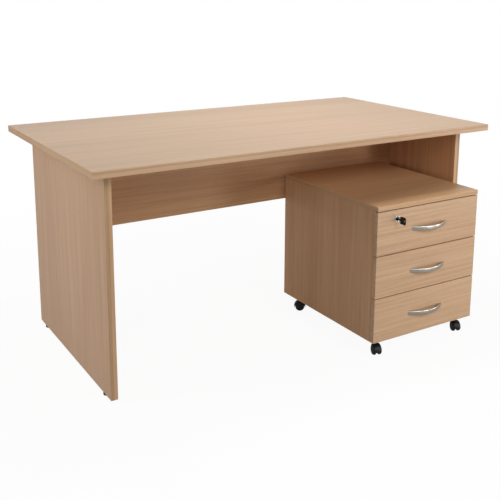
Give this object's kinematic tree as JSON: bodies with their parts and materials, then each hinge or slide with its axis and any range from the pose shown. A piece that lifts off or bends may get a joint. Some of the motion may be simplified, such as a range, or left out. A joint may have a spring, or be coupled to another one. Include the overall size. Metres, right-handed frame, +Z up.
{
  "type": "pedestal desk",
  "caption": "Panel-end office desk with a modesty panel and a separate lockable drawer pedestal on castors under its right-hand side.",
  "frame": {"origin": "on the floor, under the middle of the whole object's box", "axes": "+Z up, +X to the right of someone sitting at the desk, along the worktop, +Y from the sitter to the back"},
  "size_m": [1.5, 0.984, 0.725],
  "materials": {
    "worktop_board": "satin beech-effect melamine, grain along the length",
    "end_panel_board": "satin beech-effect melamine, upright grain",
    "modesty_board": "satin beech-effect melamine, grain along the length",
    "edging_band": "satin beech-effect edging",
    "pedestal_board": "satin beech-effect melamine",
    "front_board": "satin beech-effect melamine, grain across the drawer",
    "box_board": "pale grey melamine",
    "box_bottom": "white-faced hardboard",
    "dowel_wood": "fluted beech",
    "zinc_fitting": "bright zinc plate",
    "runner_steel": "off-white epoxy",
    "roller_nylon": "natural nylon",
    "handle_metal": "satin nickel",
    "lock_chrome": "bright nickel",
    "key_metal": "nickel blade with a black plastic bow",
    "black_plastic": "moulded black",
    "wheel_plastic": "moulded black"
  },
  "bodies": {
    "desk": {"worktop": "worktop_board", "left_end_panel": "end_panel_board", "right_end_panel": "end_panel_board", "modesty_panel": "modesty_board", "desk_edging": "edging_band", "desk_cam_bolts": "zinc_fitting", "desk_cam_discs": "zinc_fitting", "desk_dowels": "dowel_wood", "foot_inserts": "zinc_fitting"},
    "levelling_foot_front_left": {"levelling_foot_front_left": "black_plastic"},
    "levelling_foot_front_right": {"levelling_foot_front_right": "black_plastic"},
    "levelling_foot_back_left": {"levelling_foot_back_left": "black_plastic"},
    "levelling_foot_back_right": {"levelling_foot_back_right": "black_plastic"},
    "pedestal": {"pedestal_top": "pedestal_board", "pedestal_left_side": "pedestal_board", "pedestal_right_side": "pedestal_board", "pedestal_base": "pedestal_board", "pedestal_back": "pedestal_board", "pedestal_edging": "edging_band", "pedestal_dowels": "dowel_wood", "cabinet_runners": "runner_steel", "carcass_screws": "zinc_fitting", "castor_plates": "zinc_fitting", "lock_keep": "zinc_fitting"},
    "drawer_top": {"drawer_top_front": "front_board", "drawer_top_box": "box_board", "drawer_top_bottom": "box_bottom", "drawer_top_runners": "runner_steel", "drawer_top_handle": "handle_metal", "drawer_top_screws": "zinc_fitting", "lock_barrel": "lock_chrome"},
    "drawer_top_front_rollers": {"drawer_top_front_rollers": "roller_nylon"},
    "drawer_top_rear_rollers": {"drawer_top_rear_rollers": "roller_nylon"},
    "drawer_middle": {"drawer_middle_front": "front_board", "drawer_middle_box": "box_board", "drawer_middle_bottom": "box_bottom", "drawer_middle_runners": "runner_steel", "drawer_middle_handle": "handle_metal", "drawer_middle_screws": "zinc_fitting"},
    "drawer_middle_front_rollers": {"drawer_middle_front_rollers": "roller_nylon"},
    "drawer_middle_rear_rollers": {"drawer_middle_rear_rollers": "roller_nylon"},
    "drawer_bottom": {"drawer_bottom_front": "front_board", "drawer_bottom_box": "box_board", "drawer_bottom_bottom": "box_bottom", "drawer_bottom_runners": "runner_steel", "drawer_bottom_handle": "handle_metal", "drawer_bottom_screws": "zinc_fitting"},
    "drawer_bottom_front_rollers": {"drawer_bottom_front_rollers": "roller_nylon"},
    "drawer_bottom_rear_rollers": {"drawer_bottom_rear_rollers": "roller_nylon"},
    "lock_plug": {"lock_plug": "lock_chrome", "lock_tongue": "zinc_fitting"},
    "key": {"key": "key_metal"},
    "castor_front_left": {"castor_front_left_hood": "black_plastic"},
    "castor_front_left_wheels": {"castor_front_left_wheels": "wheel_plastic"},
    "castor_front_right": {"castor_front_right_hood": "black_plastic"},
    "castor_front_right_wheels": {"castor_front_right_wheels": "wheel_plastic"},
    "castor_back_left": {"castor_back_left_hood": "black_plastic"},
    "castor_back_left_wheels": {"castor_back_left_wheels": "wheel_plastic"},
    "castor_back_right": {"castor_back_right_hood": "black_plastic"},
    "castor_back_right_wheels": {"castor_back_right_wheels": "wheel_plastic"}
  },
  "joints": [
    {"name": "levelling_foot_front_left_screw", "type": "slide", "parent": "desk", "child": "levelling_foot_front_left", "axis": [0, 0, -1], "range_m": [0, 0.012]},
    {"name": "levelling_foot_front_right_screw", "type": "slide", "parent": "desk", "child": "levelling_foot_front_right", "axis": [0, 0, -1], "range_m": [0, 0.012]},
    {"name": "levelling_foot_back_left_screw", "type": "slide", "parent": "desk", "child": "levelling_foot_back_left", "axis": [0, 0, -1], "range_m": [0, 0.012]},
    {"name": "levelling_foot_back_right_screw", "type": "slide", "parent": "desk", "child": "levelling_foot_back_right", "axis": [0, 0, -1], "range_m": [0, 0.012]},
    {"name": "pedestal_roll", "type": "slide", "parent": "desk", "child": "pedestal", "axis": [0, -1, 0], "range_m": [0, 0.5]},
    {"name": "drawer_top_slide", "type": "slide", "parent": "pedestal", "child": "drawer_top", "axis": [0, -1, 0], "range_m": [0, 0.34]},
    {"name": "drawer_top_front_rollers_turn", "type": "hinge", "parent": "pedestal", "child": "drawer_top_front_rollers", "pos_m": [0.379, -0.41, 0.3945], "axis": [1, 0, 0], "range_deg": [0, 1950]},
    {"name": "drawer_top_rear_rollers_turn", "type": "hinge", "parent": "drawer_top", "child": "drawer_top_rear_rollers", "pos_m": [0.379, -0.004, 0.3945], "axis": [1, 0, 0], "range_deg": [0, 1950]},
    {"name": "drawer_middle_slide", "type": "slide", "parent": "pedestal", "child": "drawer_middle", "axis": [0, -1, 0], "range_m": [0, 0.34]},
    {"name": "drawer_middle_front_rollers_turn", "type": "hinge", "parent": "pedestal", "child": "drawer_middle_front_rollers", "pos_m": [0.379, -0.41, 0.2495], "axis": [1, 0, 0], "range_deg": [0, 1950]},
    {"name": "drawer_middle_rear_rollers_turn", "type": "hinge", "parent": "drawer_middle", "child": "drawer_middle_rear_rollers", "pos_m": [0.379, -0.004, 0.2495], "axis": [1, 0, 0], "range_deg": [0, 1950]},
    {"name": "drawer_bottom_slide", "type": "slide", "parent": "pedestal", "child": "drawer_bottom", "axis": [0, -1, 0], "range_m": [0, 0.34]},
    {"name": "drawer_bottom_front_rollers_turn", "type": "hinge", "parent": "pedestal", "child": "drawer_bottom_front_rollers", "pos_m": [0.379, -0.41, 0.0935], "axis": [1, 0, 0], "range_deg": [0, 1950]},
    {"name": "drawer_bottom_rear_rollers_turn", "type": "hinge", "parent": "drawer_bottom", "child": "drawer_bottom_rear_rollers", "pos_m": [0.379, -0.004, 0.0935], "axis": [1, 0, 0], "range_deg": [0, 1950]},
    {"name": "lock_turn", "type": "hinge", "parent": "drawer_top", "child": "lock_plug", "pos_m": [0.237, -0.452, 0.473], "axis": [0, -1, 0], "range_deg": [0, 90]},
    {"name": "key_pull", "type": "slide", "parent": "lock_plug", "child": "key", "axis": [0, -1, 0], "range_m": [0, 0.03]},
    {"name": "castor_front_left_swivel", "type": "hinge", "parent": "pedestal", "child": "castor_front_left", "pos_m": [0.195, -0.416, 0.05], "axis": [0, 0, 1], "continuous": true},
    {"name": "castor_front_left_wheels_turn", "type": "hinge", "parent": "castor_front_left", "child": "castor_front_left_wheels", "pos_m": [0.19191, -0.42551, 0.017], "axis": [0.9511, -0.309, 0], "continuous": true},
    {"name": "castor_front_right_swivel", "type": "hinge", "parent": "pedestal", "child": "castor_front_right", "pos_m": [0.563, -0.416, 0.05], "axis": [0, 0, 1], "continuous": true},
    {"name": "castor_front_right_wheels_turn", "type": "hinge", "parent": "castor_front_right", "child": "castor_front_right_wheels", "pos_m": [0.55958, -0.4254, 0.017], "axis": [0.9397, -0.342, 0], "continuous": true},
    {"name": "castor_back_left_swivel", "type": "hinge", "parent": "pedestal", "child": "castor_back_left", "pos_m": [0.195, 0.011, 0.05], "axis": [0, 0, 1], "continuous": true},
    {"name": "castor_back_left_wheels_turn", "type": "hinge", "parent": "castor_back_left", "child": "castor_back_left_wheels", "pos_m": [0.18671, 0.01659, 0.017], "axis": [-0.5592, -0.829, 0], "continuous": true},
    {"name": "castor_back_right_swivel", "type": "hinge", "parent": "pedestal", "child": "castor_back_right", "pos_m": [0.563, 0.011, 0.05], "axis": [0, 0, 1], "continuous": true},
    {"name": "castor_back_right_wheels_turn", "type": "hinge", "parent": "castor_back_right", "child": "castor_back_right_wheels", "pos_m": [0.56874, 0.00281, 0.017], "axis": [0.8192, 0.5736, 0], "continuous": true}
  ],
  "couplings": [
    {"joint": "drawer_top_front_rollers_turn", "follows": "drawer_top_slide", "rad_per_m": 100},
    {"joint": "drawer_top_rear_rollers_turn", "follows": "drawer_top_slide", "rad_per_m": 100},
    {"joint": "drawer_middle_front_rollers_turn", "follows": "drawer_middle_slide", "rad_per_m": 100},
    {"joint": "drawer_middle_rear_rollers_turn", "follows": "drawer_middle_slide", "rad_per_m": 100},
    {"joint": "drawer_bottom_front_rollers_turn", "follows": "drawer_bottom_slide", "rad_per_m": 100},
    {"joint": "drawer_bottom_rear_rollers_turn", "follows": "drawer_bottom_slide", "rad_per_m": 100}
  ]
}
